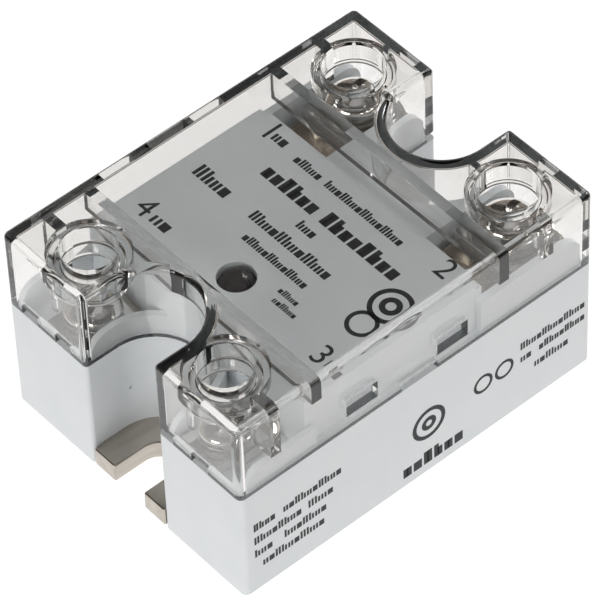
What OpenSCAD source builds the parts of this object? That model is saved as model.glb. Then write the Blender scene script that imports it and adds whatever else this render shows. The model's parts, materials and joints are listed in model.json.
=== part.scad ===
// Panel-mount solid state relay with a clear lift-off touch guard.
// The origin is at the middle of the underside, +X points to the output
// terminals 1 and 2, terminals 3 and 4 are the control input, and +Z is up.
// All sizes are in millimetres.

/* [Overall] */
// Length of the housing along X
body_l = 58.5; // [56:0.1:76]
// Width of the housing along Y
body_w = 44.8; // [44:0.1:60]
// Height to the top of the clear cover
cover_top = 31; // [30.5:0.1:40]
// Height of the seam between the housing and the cover
seam_z = 18.3; // [17.8:0.1:18.8]
// Radius of the vertical outer corners
corner_r = 0.9; // [0.6:0.1:2.4]
// Radius of the corners where a notch meets an end face
lobe_r = 0.6; // [0.4:0.1:1.6]

/* [Mounting notches] */
// Radius of the round end of each notch
notch_r = 7; // [5.5:0.1:7.2]
// Straight run of each notch from the end face to its round end's centre
notch_run = 5.05; // [3:0.05:6]

/* [Base plate] */
// Thickness of the base plate
plate_t = 3; // [2:0.1:3.4]
// Radius of the mounting hole and distance of its centre from the end face
hole_r = 2.4; // [1.8:0.1:3]
// Distance of the mounting hole's centre from the output end face
hole_end = 5.45; // [4:0.05:7]
// Half width of the open mounting slot at the input end
slot_r = 2.85; // [2:0.05:3.2]
// Distance of the slot's round end centre from the input end face
slot_end = 4.85; // [3:0.05:6]
// Clearance around the plate in the housing
plate_gap = 0.1; // [0.05:0.05:0.3]

/* [Housing] */
// Outer wall of the housing
wall = 1.6; // [1.2:0.1:2]
// Underside of the deck that carries the terminals
deck_z = 14.2; // [13.9:0.1:14.6]
// Top of the printed plateau
plateau_z = 26; // [25:0.1:26.2]
// Top skin and side walls of the plateau
skin = 1.5; // [1:0.1:2]
// Length of the input terminal bay from the end face
in_bay_l = 11.95; // [11.9:0.05:13]
// Length of the output terminal bay from the end face
out_bay_l = 17.35; // [16.8:0.05:18]
// Gap between the plateau's long sides and the inside of the cover
plateau_gap = 1.2; // [0.6:0.1:1.6]
// Thickness of the raised walls around the output bays
out_guard_t = 1.1; // [0.8:0.1:1.2]
// Thickness of the raised walls around the input bays
in_guard_t = 0.9; // [0.7:0.1:1.1]
// Top of the raised walls around the output bays
out_guard_z = 23.8; // [22.5:0.1:24]
// Top of the raised walls around the input bays
in_guard_z = 21.5; // [20:0.1:22.5]
// Height of the wire sill at the output end above the seam
sill_h = 1.6; // [0.6:0.1:2.4]
// Radius of the raised walls' top corners at the end faces
guard_r = 3; // [1:0.1:4]

/* [Clear cover] */
// Wall of the cover
cover_wall = 1.2; // [0.9:0.1:1.44]
// Thickness of the cover's top
cover_top_t = 1.3; // [1:0.1:1.6]
// Gap between the cover and the raised walls of the housing
guard_gap = 0.15; // [0.1:0.05:0.3]
// Radius of the driver holes over the output screws
out_tube_r = 4.15; // [4.1:0.05:4.5]
// Radius of the driver holes over the input screws
in_tube_r = 3.65; // [3.5:0.05:4]
// Depth of the driver tubes over the output screws
out_tube_l = 4; // [2.5:0.1:4]
// Depth of the driver tubes over the input screws
in_tube_l = 5.6; // [4:0.1:6]
// Outer radius of the collar around each driver hole
collar_r = 5.5; // [5.2:0.1:5.8]
// Depth of the collar below the cover's top face
collar_l = 3.7; // [2.5:0.1:4]
// Wall of the thin lower end of the input tubes
tube_wall = 0.9; // [0.6:0.1:1.2]
// Thickness of the cross ribs
rib_t = 1.6; // [1:0.1:2]
// Thickness of the short ribs that brace the collars
web_t = 1; // [0.6:0.1:1.4]
// Underside of the cross rib over the plateau
in_rib_z = 26.5; // [26.3:0.1:28]
// Underside of the cross rib beside the output bays
out_rib_z = 25; // [24.6:0.1:28]
// Width of the latch windows in the long sides
latch_w = 5.1; // [3:0.1:6]
// Height of the latch windows
latch_h = 2.8; // [1.5:0.1:3.2]
// Height of the latch windows' lower edge above the seam
latch_up = 2.3; // [1.8:0.1:2.6]
// Distance of the latch windows from the middle of their row
latch_pitch = 7.45; // [5:0.05:9]
// Place of the middle of the latch row along X
latch_mid = -1.95; // [-3:0.05:1]
// Clearance of a catch inside its window, on every side
catch_gap = 0.5; // [0.3:0.1:0.8]
// Width and height of the prying slots under the long sides
pry_w = 6; // [3:0.1:7]
// Height of the prying slots
pry_h = 1.3; // [0.8:0.1:1.6]
// Width of the small windows in the short ends
vent_w = 3.1; // [2:0.1:3.6]
// Height of the small windows
vent_h = 1.4; // [0.8:0.1:2]
// Places of the small windows' middles along Y, at the input end
vent_y = [-14.85, -8.3, 11.4, 18];

/* [Output terminals] */
// Distance of the output screws from the end face
out_term_end = 7.15; // [7:0.05:7.4]
// Top of the output terminal plates
out_pad_z = 21.7; // [21:0.1:21.7]
// Thickness of the output terminal plates
out_pad_t = 1.2; // [1:0.1:1.4]
// Half width of the output clamps
out_clamp_hw = 4.7; // [4.4:0.05:4.8]
// Thread radius of the output screws
out_thread_r = 1.95; // [1.5:0.05:2.35]
// Head radius of the output screws
out_head_r = 3.9; // [3.6:0.05:3.9]
// Head height of the output screws
out_head_h = 3.2; // [2.4:0.1:3.2]

/* [Input terminals] */
// Distance of the input screws from the end face
in_term_end = 6.35; // [6.2:0.05:6.6]
// Top of the input terminal plates
in_pad_z = 17.5; // [17:0.1:17.6]
// Thickness of the input terminal plates
in_pad_t = 1; // [0.8:0.1:1.2]
// Half width of the input clamps
in_clamp_hw = 3.4; // [3.2:0.05:3.5]
// Thread radius of the input screws
in_thread_r = 1.7; // [1.4:0.05:2.05]
// Head radius of the input screws
in_head_r = 3.3; // [3:0.05:3.35]
// Head height of the input screws
in_head_h = 2.5; // [2:0.1:2.6]

/* [Fasteners] */
// Thickness of the clamp plates
clamp_t = 1.1; // [0.8:0.1:1.2]
// Length of the clamp plates along X
clamp_l = 8.4; // [7:0.1:9]
// Thickness of the clamps' side skirts
skirt_t = 0.8; // [0.6:0.1:1]
// Thickness of the spring washers
washer_t = 0.8; // [0.5:0.1:0.9]
// Radial width of the spring washers
washer_w = 1.3; // [1:0.1:1.4]
// Length of the screws under the head
shank_l = 8; // [7:0.1:8.4]
// Radial running clearance of a screw in its nut
thread_gap = 0.05; // [0.02:0.01:0.1]
// Radial clearance of a screw through plates, clamps and washers
pass_gap = 0.3; // [0.2:0.05:0.4]
// Smallest gap between a clamp and the walls beside it
clamp_gap = 0.35; // [0.3:0.05:0.5]
// Wall of a nut around the thread, at its flats
nut_wall = 1.45; // [1.2:0.05:1.6]
// Thickness of the nuts
nut_t = 2.8; // [2:0.1:3]
// Clearance between a nut and its pocket
nut_gap = 0.1; // [0.05:0.05:0.2]

/* [Power circuit] */
// Length of the ceramic substrate along X
ceramic_l = 27; // [25:0.1:28]
// Width of the ceramic substrate along Y
ceramic_w = 37; // [36:0.1:38]
// Thickness of the ceramic substrate
ceramic_t = 0.8; // [0.5:0.1:1]
// Thickness of the copper tracks
track_t = 0.3; // [0.2:0.05:0.4]
// Side of the square thyristor dice
die_w = 8; // [6:0.1:8.5]
// Thickness of the dice
die_t = 0.4; // [0.3:0.1:0.5]
// Width and thickness of the bridge straps
strap_w = 4; // [3:0.1:4.4]
// Thickness of the bridge straps
strap_t = 0.5; // [0.4:0.1:0.7]
// Depth of the potting over the base plate
potting_h = 4.5; // [3.8:0.1:6]

/* [Driver circuit] */
// Underside of the driver board
board_z = 12; // [11.5:0.1:12.4]
// Thickness of the driver board
board_t = 1.6; // [1:0.1:1.6]
// Width of the driver board along Y
board_w = 34; // [32:0.5:36]
// Gap between the driver board and the housing at its ends
board_gap = 0.7; // [0.5:0.1:1]
// Radius of the status lamp
lamp_r = 2.5; // [1.5:0.1:2.6]
// Clearance of the lamp in the plateau
lamp_gap = 0.1; // [0.05:0.05:0.3]
// Distance of the lamp from the plateau's input edge
lamp_in = 7.1; // [5:0.1:8]
// Height of the lamp's dome above the plateau
lamp_up = 0.6; // [0.2:0.1:1.5]

/* [Hidden] */
$fn = 64;
// Overshoot of a cutting shape past the face that it cuts
over = 1;
// Places of the notches and screws
end_x = body_l / 2;
side_y = body_w / 2;
notch_x = end_x - notch_run;
inner_off = cover_wall + guard_gap;
out_x = end_x - out_term_end;
in_x = in_term_end - end_x;
out_y = notch_r + inner_off + out_guard_t + clamp_gap + out_clamp_hw;
in_y = notch_r + inner_off + in_guard_t + clamp_gap + in_clamp_hw;
// The plateau and the hollow under it
plateau_x0 = in_bay_l - end_x;
plateau_x1 = end_x - out_bay_l;
plateau_y = side_y - cover_wall - plateau_gap;
hollow_x0 = plateau_x0 + skin;
hollow_x1 = plateau_x1 - skin;
hollow_y = plateau_y - skin;
ledge_w = 1;
ledge_h = 0.8;
// The bays: posts under the terminal plates, slots for the conductors
out_post_hw = out_clamp_hw;
in_post_hw = nut_wall + in_thread_r + 1.4;
post_l = 9.6;
out_post_z = out_pad_z - out_pad_t;
in_post_z = in_pad_z - in_pad_t;
well_z = 1.4;
well_end = 0.6;
out_pad_hw = out_clamp_hw - skirt_t - 0.3;
in_pad_hw = in_clamp_hw - skirt_t - 0.3;
skirt_h = 0.8;
leg_t = 1.2;
leg_hw = 3;
foot_l = 3.8;
slot_gap = 0.1;
leg_x = plateau_x1 + 2.1;
pad_end = 1.8;
strip_leg_x = hollow_x0 + 2.3;
strip_hw = 1.6;
// The power stack
ceramic_x1 = leg_x;
ceramic_x0 = ceramic_x1 - ceramic_l;
ceramic_z = plate_t + ceramic_t;
track_z = ceramic_z + track_t;
die_z = track_z + die_t;
track_y0 = 3;
die_1_x = ceramic_x1 - 15;
die_2_x = ceramic_x1 - 8.2;
die_y = 9.5;
arch_z = die_z + 1.6;
gate_x = ceramic_x0 + 3;
gate_y = 5;
pin_w = 0.64;
// The driver board
board_x0 = hollow_x0 + board_gap;
board_x1 = hollow_x1 - board_gap;
board_top = board_z + board_t;
lamp_x = plateau_x0 + lamp_in;
lamp_base_z = plateau_z - skin - 5;
lead_pitch = 2.54;
lead_hw = 0.25;
// Mirror signs of the terminals: 1 and 4 on the +Y side, 2 and 3 on the -Y side
function side_of(n) = (n == 1 || n == 4) ? 1 : -1;
function is_out(n) = n < 3;

// ---- Shared outlines ----

// Cuts one convex corner of an outline, at the origin, to a radius.
module corner_cut(r) {
    difference() {
        translate([-over, -over]) square(r + over);
        translate([r, r]) circle(r);
    }
}

// Both U-shaped notches, grown by a distance.
module notches_2d(grow) {
    for (s = [-1, 1]) {
        translate([s * notch_x, 0]) circle(notch_r + grow);
        translate([s * (notch_x + body_l / 2), 0]) square([body_l, 2 * (notch_r + grow)], center = true);
    }
}

// The body's outline, shrunk by a distance from its outer and notch walls.
module body_2d(inset, r_out, r_lobe) {
    x = end_x - inset;
    y = side_y - inset;
    n = notch_r + inset;
    difference() {
        square([2 * x, 2 * y], center = true);
        notches_2d(inset);
        for (sx = [0, 1], sy = [0, 1]) mirror([sx, 0]) mirror([0, sy]) {
            translate([-x, -y]) corner_cut(r_out);
            translate([-x, -n]) mirror([0, 1]) corner_cut(r_lobe);
        }
    }
}

// A box from its low corner to its high corner.
module span(low, high) {
    translate(low) cube(high - low);
}

// Repeats its children at terminals n in list, in the terminal's own frame.
module at_terminal(n) {
    x = is_out(n) ? out_x : in_x;
    y = is_out(n) ? out_y : in_y;
    translate([x, side_of(n) * y, 0]) children();
}

// ---- Base plate and housing ----

module plate_2d(gap) {
    x = end_x - wall - plate_gap + gap;
    y = side_y - wall - plate_gap + gap;
    square([2 * x, 2 * y], center = true);
    square([body_l + (gap > 0 ? 2 * over : 0), 2 * (notch_r - plate_gap + gap)], center = true);
}

module base_plate() {
    color("Silver") difference() {
        linear_extrude(plate_t) plate_2d(0);
        translate([end_x - hole_end, 0, -over]) cylinder(h = plate_t + 2 * over, r = hole_r);
        translate([slot_end - end_x, 0, -over]) cylinder(h = plate_t + 2 * over, r = slot_r);
        span([-body_l, -slot_r, -over], [slot_end - end_x, slot_r, plate_t + over]);
    }
}

// Walls and deck below the seam.
module lower_shell() {
    difference() {
        linear_extrude(seam_z) body_2d(0, corner_r, lobe_r);
        translate([0, 0, -over]) linear_extrude(deck_z + over) body_2d(wall, corner_r / 2, lobe_r / 2);
    }
}

// Raised walls inside the cover around one pair of bays: s is 1 for output, -1 for input.
module guard_walls(s, t, top, bay_l) {
    low_x = end_x - bay_l - over;
    intersection() {
        difference() {
            translate([0, 0, seam_z - over]) linear_extrude(top - seam_z + over)
                body_2d(inner_off, corner_r / 2, lobe_r / 2);
            translate([0, 0, seam_z - 2 * over]) linear_extrude(top)
                body_2d(inner_off + t, corner_r / 4, lobe_r / 4);
        }
        mirror([s > 0 ? 0 : 1, 0, 0])
            span([low_x, -side_y, 0], [end_x, side_y, cover_top]);
    }
}

// Rounds the raised walls' top corner at one end face.
module guard_corner_cut(s, top) {
    x = end_x - inner_off;
    mirror([s > 0 ? 0 : 1, 0, 0]) translate([x, side_y, top]) rotate([90, 0, 0])
        linear_extrude(body_w) difference() {
            translate([-guard_r, -guard_r]) square(guard_r + over);
            translate([-guard_r, -guard_r]) circle(guard_r);
        }
}

// The plateau, cut back from the cover's notch walls and stepped at its output edge.
module plateau() {
    difference() {
        span([plateau_x0, -plateau_y, seam_z - over], [plateau_x1, plateau_y, plateau_z]);
        translate([0, 0, seam_z - 2 * over]) linear_extrude(cover_top) notches_2d(inner_off);
        span([plateau_x1 - ledge_w, -body_w, plateau_z - ledge_h], [body_l, body_w, cover_top]);
    }
}

// Solid block between the two output bays, behind the notch.
module output_barrier() {
    y = out_y - out_clamp_hw - clamp_gap;
    difference() {
        span([plateau_x1 - over, -y, seam_z - over], [notch_x, y, out_guard_z]);
        translate([0, 0, seam_z - 2 * over]) linear_extrude(cover_top) notches_2d(inner_off);
    }
}

// Posts under the terminal plates.
module posts() {
    for (n = [1, 2]) at_terminal(n)
        span([-post_l / 2, -out_post_hw, deck_z - well_z], [post_l / 2, out_post_hw, out_post_z]);
    for (n = [3, 4]) at_terminal(n)
        span([-post_l / 2, -in_post_hw, in_pad_z - shank_l - well_z], [post_l / 2, in_post_hw, in_post_z]);
}

// Catches that sit in the cover's latch windows.
module catches() {
    w = latch_w - 2 * catch_gap;
    z0 = seam_z + latch_up + catch_gap;
    z1 = seam_z + latch_up + latch_h - catch_gap;
    y = side_y - inner_off;
    for (s = [-1, 1]) translate([latch_mid + s * latch_pitch, 0, 0])
        span([-w / 2, -y, z0], [w / 2, y, z1]);
}

// Hollow under the plateau, the bays, and everything let into the housing.
module housing_cuts() {
    bay_y = side_y - inner_off - in_guard_t;
    in_floor_y = notch_r + inner_off + in_guard_t;
    well_l = out_x - post_l / 2 - plateau_x1 - well_end;
    span([hollow_x0, -hollow_y, -over], [hollow_x1, hollow_y, plateau_z - skin]);
    translate([0, 0, -over]) linear_extrude(plate_t + over) plate_2d(plate_gap);
    for (s = [-1, 1]) mirror([0, s > 0 ? 0 : 1, 0]) {
        span([in_x - post_l / 2, in_floor_y, in_post_z], [plateau_x0, bay_y, cover_top]);
        span([inner_off + in_guard_t - end_x, in_floor_y, in_pad_z], [plateau_x0, bay_y, cover_top]);
    }
    for (n = [1, 2]) translate([leg_x, side_of(n) * out_y, 0])
        span([-slot_gap, -leg_hw - slot_gap, 0], [leg_t + slot_gap, leg_hw + slot_gap, out_post_z]);
    for (n = [1, 2]) translate([plateau_x1, side_of(n) * out_y, 0])
        span([0, -out_clamp_hw, seam_z - 2], [well_l, out_clamp_hw, cover_top]);
    for (n = [3, 4]) translate([plateau_x0, side_of(n) * in_y, in_post_z])
        span([-over, -strip_hw - slot_gap, 0], [skin + over, strip_hw + slot_gap, in_pad_t + slot_gap]);
    for (n = [1 : 4]) at_terminal(n) terminal_cuts(n);
    translate([lamp_x, 0, plateau_z - skin - over])
        cylinder(h = skin + 2 * over, r = lamp_r + lamp_gap);
}

// Nut pocket and screw well of one terminal.
module terminal_cuts(n) {
    thread_r = is_out(n) ? out_thread_r : in_thread_r;
    pad_z = is_out(n) ? out_pad_z : in_pad_z;
    post_z = is_out(n) ? out_post_z : in_post_z;
    translate([0, 0, post_z - nut_t]) nut_body(thread_r, nut_gap, nut_t + over);
    translate([0, 0, pad_z - shank_l]) cylinder(h = shank_l, r = thread_r + pass_gap);
}

module housing() {
    sill_x = end_x - inner_off - out_guard_t;
    color("WhiteSmoke") difference() {
        union() {
            lower_shell();
            plateau();
            output_barrier();
            posts();
            catches();
            difference() {
                guard_walls(1, out_guard_t, out_guard_z, out_bay_l);
                guard_corner_cut(1, out_guard_z);
                for (s = [0, 1]) mirror([0, s, 0]) span(
                    [sill_x - over, out_y - out_clamp_hw - clamp_gap, seam_z + sill_h],
                    [body_l, side_y - inner_off - out_guard_t, cover_top]);
            }
            difference() {
                guard_walls(-1, in_guard_t, in_guard_z, in_bay_l);
                guard_corner_cut(-1, in_guard_z);
            }
        }
        housing_cuts();
    }
}

// ---- Power circuit ----

module ceramic_substrate() {
    color("Ivory") span([ceramic_x0, -ceramic_w / 2, plate_t], [ceramic_x1, ceramic_w / 2, ceramic_z]);
}

module copper_tracks() {
    far_y = out_y + leg_hw;
    die_margin = 1;
    end_margin = 0.8;
    pad_hw = 1.5;
    emitter_pad = [gate_y - 2, gate_y + 2];
    gate_pad = [gate_y + 3, gate_y + 7];
    color("Chocolate") {
        for (s = [0, 1]) mirror([0, s, 0]) {
            span([die_1_x - die_w / 2 - die_margin, track_y0, ceramic_z],
                 [ceramic_x1 - end_margin, far_y, track_z]);
            for (y = [emitter_pad, gate_pad])
                span([gate_x - pad_hw, y[0], ceramic_z], [gate_x + pad_hw, y[1], track_z]);
        }
    }
}

module thyristor_dice() {
    color("DimGray") {
        translate([die_1_x - die_w / 2, die_y - die_w / 2, track_z]) cube([die_w, die_w, die_t]);
        translate([die_2_x - die_w / 2, -die_y - die_w / 2, track_z]) cube([die_w, die_w, die_t]);
    }
}

// One arched strap from a die to the opposite track, running towards -Y.
module strap() {
    w = strap_w / 2;
    foot_hw = 2.5;
    rise_y = die_y - foot_hw;
    landing_y = -track_y0 - strap_t;
    top = arch_z + strap_t;
    span([-w, rise_y, die_z], [w, die_y + foot_hw, die_z + strap_t]);
    span([-w, rise_y - strap_t, die_z], [w, rise_y, top]);
    span([-w, landing_y, arch_z], [w, rise_y - strap_t, top]);
    span([-w, landing_y - strap_t, track_z], [w, landing_y, top]);
}

module bridge_straps() {
    color("Peru") {
        translate([die_1_x - 2, 0, 0]) strap();
        translate([die_2_x + 2, 0, 0]) mirror([0, 1, 0]) strap();
    }
}

// Output conductor: terminal plate, leg through the deck, foot on its track.
module busbar(n) {
    y = side_of(n) * out_y;
    color("Gainsboro") difference() {
        translate([0, y, 0]) {
            span([leg_x, -out_pad_hw, out_post_z], [end_x - pad_end, out_pad_hw, out_pad_z]);
            span([leg_x, -leg_hw, track_z], [leg_x + leg_t, leg_hw, out_pad_z]);
            span([leg_x - foot_l, -leg_hw, track_z], [leg_x + leg_t, leg_hw, track_z + leg_t]);
        }
        translate([out_x, y, out_post_z - over])
            cylinder(h = out_pad_t + 2 * over, r = out_thread_r + pass_gap);
    }
}

module busbar_1() { busbar(1); }
module busbar_2() { busbar(2); }

// Pins that stand on the gate tracks and carry the driver board.
module header_pins() {
    color("Gold") for (s = [-1, 1], y = [gate_y, gate_y + 5])
        translate([gate_x - pin_w / 2, s * y - pin_w / 2, track_z]) cube([pin_w, pin_w, board_z - track_z]);
}

// Potting poured round the power circuit.
module potting() {
    color("DarkSlateGray", 0.9) difference() {
        translate([0, 0, plate_t]) linear_extrude(potting_h) body_2d(wall, corner_r / 2, lobe_r / 2);
        ceramic_substrate();
        copper_tracks();
        thyristor_dice();
        bridge_straps();
        busbar_1();
        busbar_2();
        header_pins();
    }
}

// ---- Driver circuit ----

module driver_board() {
    color("DarkGreen") span([board_x0, -board_w / 2, board_z], [board_x1, board_w / 2, board_top]);
}

module optocoupler() {
    body = [7.1, 6.4, 3.3];
    lead_t = 0.4;
    lead_h = 2;
    translate([board_x0 + 12, -5, board_top]) {
        color("Black") translate([-body[0] / 2, -body[1] / 2, lead_t]) cube(body);
        color("Silver") for (i = [-1 : 1], s = [0, 1]) mirror([0, s, 0])
            span([i * lead_pitch - lead_hw, body[1] / 2, 0],
                 [i * lead_pitch + lead_hw, body[1] / 2 + lead_t, lead_h]);
    }
}

module bridge_rectifier() {
    color("DimGray") span([board_x0 + 3, 9, board_top], [board_x0 + 9.5, 14, board_top + 3]);
}

module snubber_capacitor() {
    color("RoyalBlue") span([board_x0 + 12, 8, board_top], [board_x0 + 22, 12.5, board_top + 8]);
}

module smoothing_capacitor() {
    color("MidnightBlue") translate([board_x0 + 5, -12, board_top]) cylinder(h = 7, r = 2.6);
}

// Three axial resistors with their leads bent down to the board.
module board_resistors() {
    tube_l = 6;
    tube_r = 1.1;
    lead = 0.6;
    lift = 0.4;
    pitch = 3.5;
    for (i = [0 : 2]) translate([board_x0 + 12 + pitch * i, -13, board_top]) {
        color("Tan") translate([0, -tube_l / 2, tube_r + lift])
            rotate([-90, 0, 0]) cylinder(h = tube_l, r = tube_r);
        color("Silver") for (s = [0, 1]) mirror([0, s, 0])
            span([-lead / 2, tube_l / 2, 0], [lead / 2, tube_l / 2 + lead, tube_r + 2 * lift]);
    }
}

module varistor() {
    r = 3.2;
    color("DodgerBlue") translate([board_x0 + 17, 3, board_top + r])
        rotate([90, 0, 0]) cylinder(h = 2.6, r = r);
}

// Lamp with a flange under the plateau, a domed top, and two leads down to the board.
module status_lamp() {
    dome_z = plateau_z + lamp_up - lamp_r;
    flange = [lamp_r + 0.4, 1];
    lead_y = lead_pitch / 2;
    color("DarkRed") translate([lamp_x, 0, 0]) {
        translate([0, 0, lamp_base_z]) cylinder(h = dome_z - lamp_base_z, r = lamp_r);
        translate([0, 0, lamp_base_z]) cylinder(h = flange[1], r = flange[0]);
        translate([0, 0, dome_z]) intersection() {
            sphere(lamp_r);
            cylinder(h = lamp_r, r = lamp_r);
        }
        for (s = [-1, 1])
            span([-lead_hw, s * lead_y - lead_hw, board_top], [lead_hw, s * lead_y + lead_hw, lamp_base_z]);
    }
}

// Input conductor: terminal plate and a strip into the hollow with a leg on the board.
module input_strip(n) {
    y = side_of(n) * in_y;
    color("Gainsboro") difference() {
        translate([0, y, 0]) {
            span([pad_end + 0.9 - end_x, -in_pad_hw, in_post_z], [plateau_x0 - 0.4, in_pad_hw, in_pad_z]);
            span([plateau_x0 - over, -strip_hw, in_post_z], [strip_leg_x, strip_hw, in_pad_z]);
            span([strip_leg_x - in_pad_t, -strip_hw, board_top], [strip_leg_x, strip_hw, in_pad_z]);
        }
        translate([in_x, y, in_post_z - over])
            cylinder(h = in_pad_t + 2 * over, r = in_thread_r + pass_gap);
    }
}

module input_strip_3() { input_strip(3); }
module input_strip_4() { input_strip(4); }

// ---- Fasteners ----

// Hexagon with flats at nut_wall outside the thread, grown by a gap.
module nut_body(thread_r, gap, h) {
    flats_r = thread_r + nut_wall + gap;
    cylinder(h = h, r = flats_r / cos(30), $fn = 6);
}

module nut(thread_r) {
    difference() {
        nut_body(thread_r, 0, nut_t);
        translate([0, 0, -over]) cylinder(h = nut_t + 2 * over, r = thread_r + thread_gap);
    }
}

module output_nuts() {
    color("Silver") for (n = [1, 2]) at_terminal(n) translate([0, 0, out_post_z - nut_t]) nut(out_thread_r);
}

module input_nuts() {
    color("Silver") for (n = [3, 4]) at_terminal(n) translate([0, 0, in_post_z - nut_t]) nut(in_thread_r);
}

// Saddle clamp: a plate with a skirt along each side of the terminal plate.
module clamp(n) {
    hw = is_out(n) ? out_clamp_hw : in_clamp_hw;
    pad_z = is_out(n) ? out_pad_z : in_pad_z;
    thread_r = is_out(n) ? out_thread_r : in_thread_r;
    color("LightGray") at_terminal(n) difference() {
        union() {
            span([-clamp_l / 2, -hw, pad_z], [clamp_l / 2, hw, pad_z + clamp_t]);
            for (s = [0, 1]) mirror([0, s, 0])
                span([-clamp_l / 2, hw - skirt_t, pad_z - skirt_h], [clamp_l / 2, hw, pad_z + clamp_t]);
        }
        translate([0, 0, pad_z - over]) cylinder(h = clamp_t + 2 * over, r = thread_r + pass_gap);
    }
}

module clamp_1() { clamp(1); }
module clamp_2() { clamp(2); }
module clamp_3() { clamp(3); }
module clamp_4() { clamp(4); }

// Split spring washer, drawn flattened.
module washer(n) {
    thread_r = is_out(n) ? out_thread_r : in_thread_r;
    pad_z = is_out(n) ? out_pad_z : in_pad_z;
    hole = thread_r + pass_gap;
    split_turn = 25;
    split_hw = 0.25;
    color("DarkGray") at_terminal(n) translate([0, 0, pad_z + clamp_t]) difference() {
        cylinder(h = washer_t, r = hole + washer_w);
        translate([0, 0, -over]) cylinder(h = washer_t + 2 * over, r = hole);
        rotate([0, 0, split_turn])
            span([0, -split_hw, -over], [2 * hole + washer_w, split_hw, washer_t + over]);
    }
}

module washer_1() { washer(1); }
module washer_2() { washer(2); }
module washer_3() { washer(3); }
module washer_4() { washer(4); }

// Pan head screw with a cross and slot recess.
module screw(n) {
    thread_r = is_out(n) ? out_thread_r : in_thread_r;
    pad_z = is_out(n) ? out_pad_z : in_pad_z;
    head_r = is_out(n) ? out_head_r : in_head_r;
    head_h = is_out(n) ? out_head_h : in_head_h;
    rim_h = head_h * 0.4;
    dome_h = head_h - rim_h;
    dome_r = (head_r * head_r + dome_h * dome_h) / (2 * dome_h);
    recess_w = head_r * 0.28;
    recess_l = head_r * 1.25;
    recess_d = head_h * 0.45;
    tip = 0.5;
    color("Silver") at_terminal(n) translate([0, 0, pad_z + clamp_t + washer_t]) difference() {
        union() {
            intersection() {
                cylinder(h = head_h, r = head_r);
                translate([0, 0, head_h - dome_r]) sphere(dome_r);
            }
            translate([0, 0, -shank_l]) cylinder(h = shank_l + 0.1, r = thread_r);
        }
        for (a = [20, 110]) rotate([0, 0, a]) translate([0, 0, head_h])
            cube([recess_l, recess_w, 2 * recess_d], center = true);
        rotate([0, 0, 20]) translate([0, 0, head_h]) cube([3 * head_r, recess_w, recess_d], center = true);
        translate([0, 0, -shank_l]) difference() {
            translate([0, 0, -over]) cylinder(h = tip + over, r = thread_r + over);
            cylinder(h = tip, r1 = thread_r - tip, r2 = thread_r);
        }
    }
}

module screw_1() { screw(1); }
module screw_2() { screw(2); }
module screw_3() { screw(3); }
module screw_4() { screw(4); }

// ---- Clear cover ----

// Collar and tube around one driver hole. They are moulded in one with the cover
// but drawn apart from it, seated in round holes through its top.
module driver_collar(n) {
    tube_l = is_out(n) ? out_tube_l : in_tube_l;
    tube_r = is_out(n) ? out_tube_r : in_tube_r;
    at_terminal(n) difference() {
        union() {
            translate([0, 0, cover_top - collar_l]) cylinder(h = collar_l, r = collar_r);
            translate([0, 0, cover_top - tube_l]) cylinder(h = tube_l, r = tube_r + tube_wall);
        }
        translate([0, 0, cover_top - tube_l - over]) cylinder(h = tube_l + 2 * over, r = tube_r);
    }
}

module driver_collars() {
    color("LightCyan", 0.35) for (n = [1 : 4]) driver_collar(n);
}

// Short ribs from a collar to the long wall, the end wall and the notch wall.
module webs(n) {
    low_z = is_out(n) ? out_guard_z + 0.4 : in_guard_z + 0.4;
    high_z = cover_top - over;
    x = is_out(n) ? out_x : in_x;
    y = is_out(n) ? out_y : in_y;
    root = 0.6;
    grip = collar_r - root;
    wide = (web_t + root) / 2;
    mid = cover_wall / 2;
    mirror([0, side_of(n) > 0 ? 0 : 1, 0]) {
        span([x - wide, y + grip, low_z], [x + wide, side_y - mid, high_z]);
        mirror([is_out(n) ? 0 : 1, 0, 0])
            span([abs(x) + grip, y - web_t / 2, low_z + 2], [end_x - mid, y + web_t / 2, high_z]);
        span([x - web_t / 2, notch_r + mid, low_z + 2], [x + web_t / 2, y - grip, high_z]);
    }
}

// Full-width cross rib centred at x, with its underside at low_z.
module cross_rib(x, low_z) {
    y = side_y - cover_wall / 2;
    span([x - rib_t / 2, -y, low_z], [x + rib_t / 2, y, cover_top - over]);
}

// Windows, prying slots, the small end windows and the seats of the collars.
module cover_cuts() {
    z0 = seam_z + latch_up;
    for (s = [-1, 1]) translate([latch_mid + s * latch_pitch, 0, 0])
        span([-latch_w / 2, -body_w, z0], [latch_w / 2, body_w, z0 + latch_h]);
    span([-pry_w / 2, -body_w, seam_z - over], [pry_w / 2, body_w, seam_z + pry_h]);
    for (turn = [0, 180], y = vent_y) rotate([0, 0, turn])
        translate([-body_l, y - vent_w / 2, seam_z - over])
            cube([body_l + cover_wall - end_x, vent_w, vent_h + over]);
    for (n = [1 : 4]) at_terminal(n)
        translate([0, 0, cover_top - in_tube_l - over]) cylinder(h = in_tube_l + 2 * over, r = collar_r);
}

module clear_cover() {
    color("LightCyan", 0.35) difference() {
        union() {
            translate([0, 0, seam_z]) difference() {
                linear_extrude(cover_top - seam_z) body_2d(0, corner_r, lobe_r);
                translate([0, 0, -over]) linear_extrude(cover_top - seam_z - cover_top_t + over)
                    body_2d(cover_wall, corner_r / 2, lobe_r / 2);
            }
            for (n = [1 : 4]) webs(n);
            cross_rib(-(notch_x - notch_r - rib_t / 2 + 0.2), in_rib_z);
            cross_rib(leg_x + 0.6, out_rib_z);
        }
        cover_cuts();
    }
}

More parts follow.
